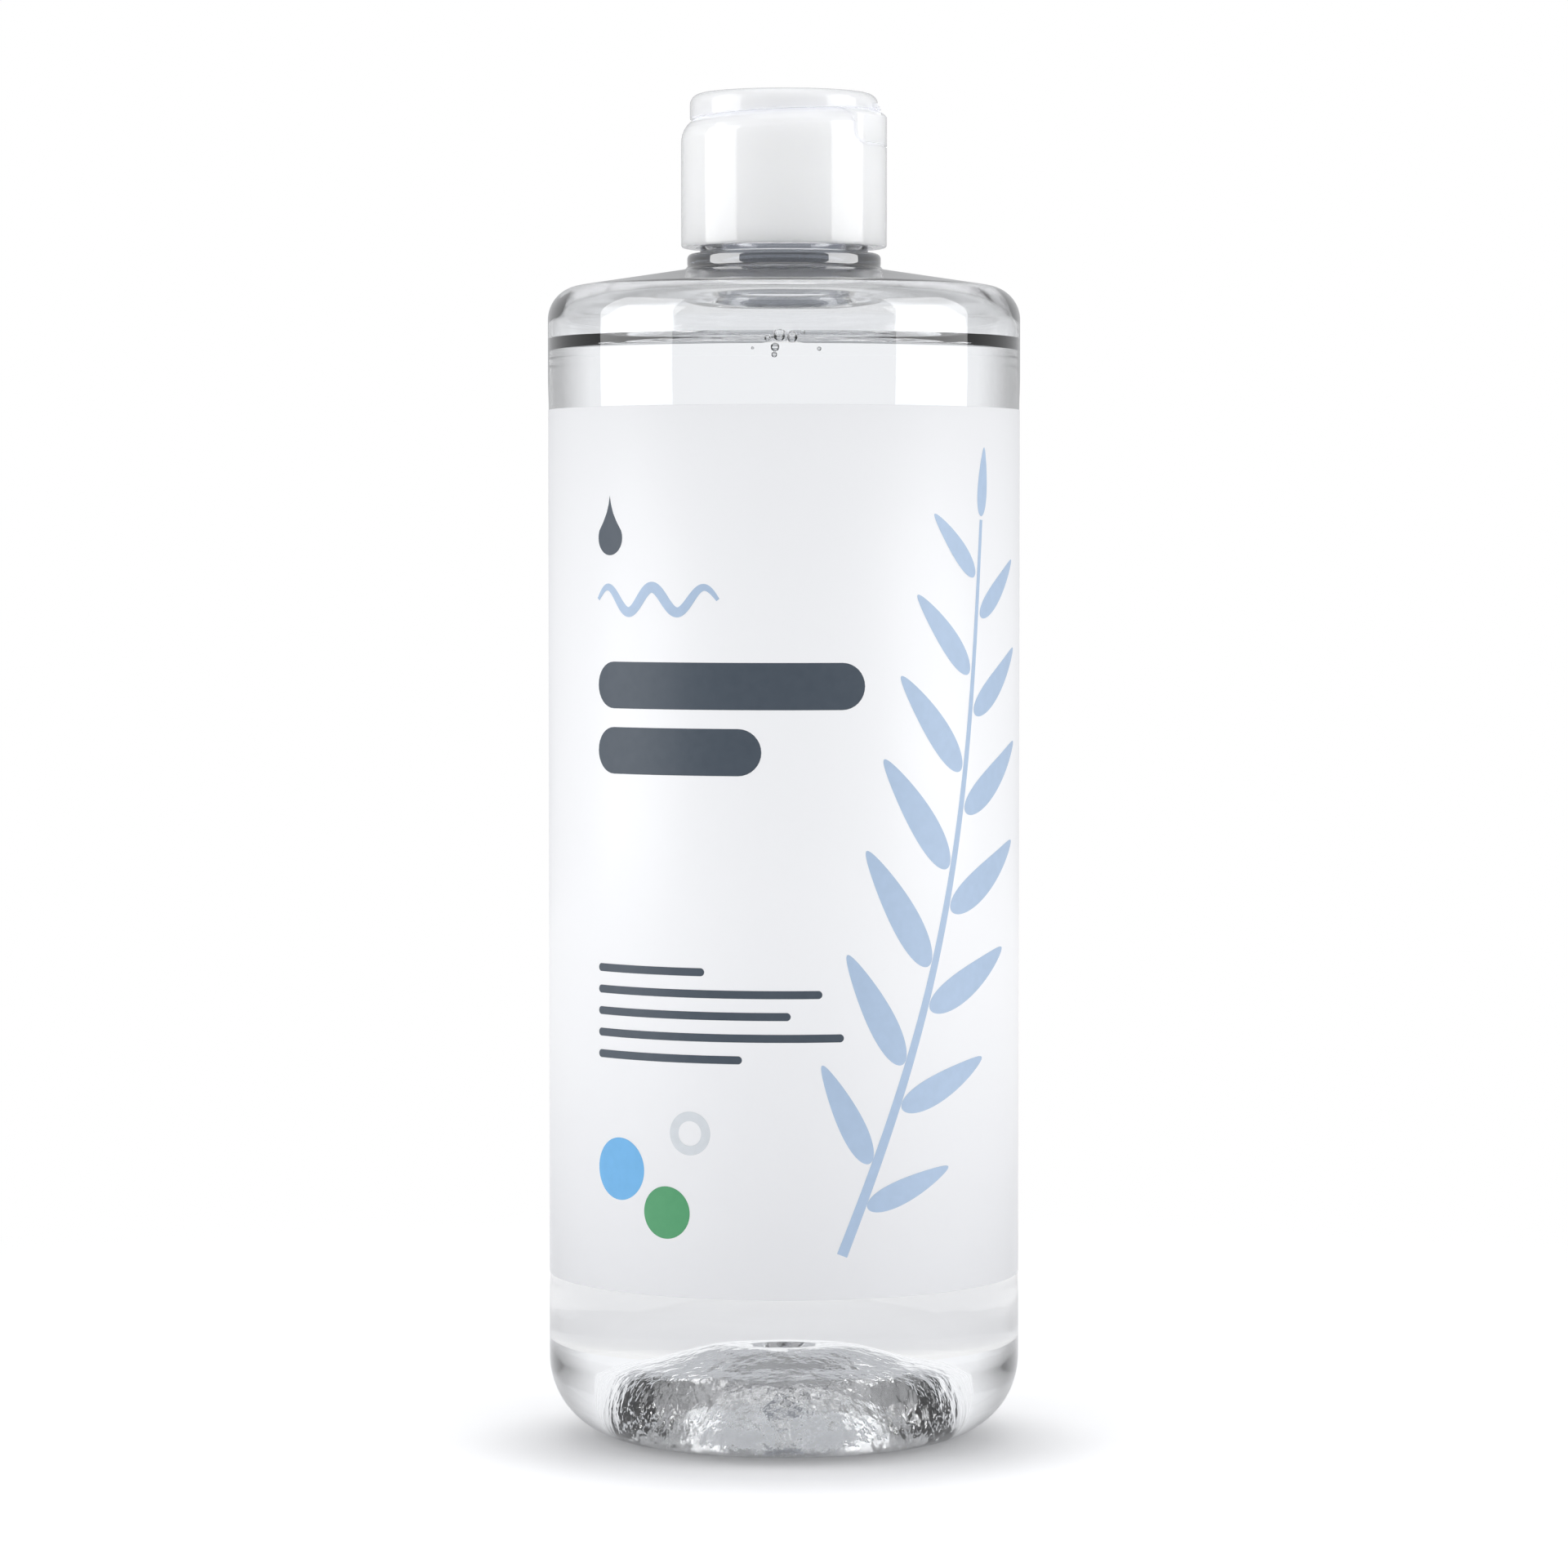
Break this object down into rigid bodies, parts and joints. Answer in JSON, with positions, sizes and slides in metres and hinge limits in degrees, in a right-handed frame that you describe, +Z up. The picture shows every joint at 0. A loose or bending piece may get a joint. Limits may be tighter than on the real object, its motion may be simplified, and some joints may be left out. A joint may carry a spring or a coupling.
{
  "type": "shower gel bottle",
  "caption": "Clear round bottle of shower gel with a white wrap label and a white flip-top screw cap that turns off its thread.",
  "frame": {"origin": "centre of the ring that the bottle stands on, at the table", "axes": "+Z up along the bottle's axis; the label's front looks to -Y; the lid's hinge is at +X"},
  "size_m": [0.0666, 0.0664, 0.1895],
  "materials": {
    "clear_plastic": "clear, glossy",
    "gel": "clear liquid",
    "label_film": "satin",
    "ink_pale_blue": "satin",
    "ink_slate": "satin",
    "ink_blue": "satin",
    "ink_green": "satin",
    "ink_grey": "satin",
    "seal": "matte",
    "white_plastic": "glossy"
  },
  "bodies": {
    "bottle": {"bottle": "clear_plastic", "shower_gel": "gel", "label": "label_film", "print_pale_blue": "ink_pale_blue", "print_slate": "ink_slate", "print_blue": "ink_blue", "print_green": "ink_green", "print_grey": "ink_grey"},
    "seal": {"seal_ring": "seal"},
    "cap": {"cap_body": "white_plastic"},
    "lid": {"flip_lid": "white_plastic"}
  },
  "joints": [
    {"name": "cap_lift", "type": "slide", "parent": "bottle", "child": "seal", "axis": [0, 0, 1], "range_m": [0, 0.00476]},
    {"name": "cap_turn", "type": "hinge", "parent": "seal", "child": "cap", "pos_m": [0, 0, 0.1767], "axis": [0, 0, 1], "range_deg": [0, 540]},
    {"name": "lid_hinge", "type": "hinge", "parent": "cap", "child": "lid", "pos_m": [0.01329, 0, 0.18694], "axis": [0, 1, 0], "range_deg": [0, 115]}
  ],
  "couplings": [
    {"joint": "cap_turn", "follows": "cap_lift", "rad_per_m": 1979}
  ]
}
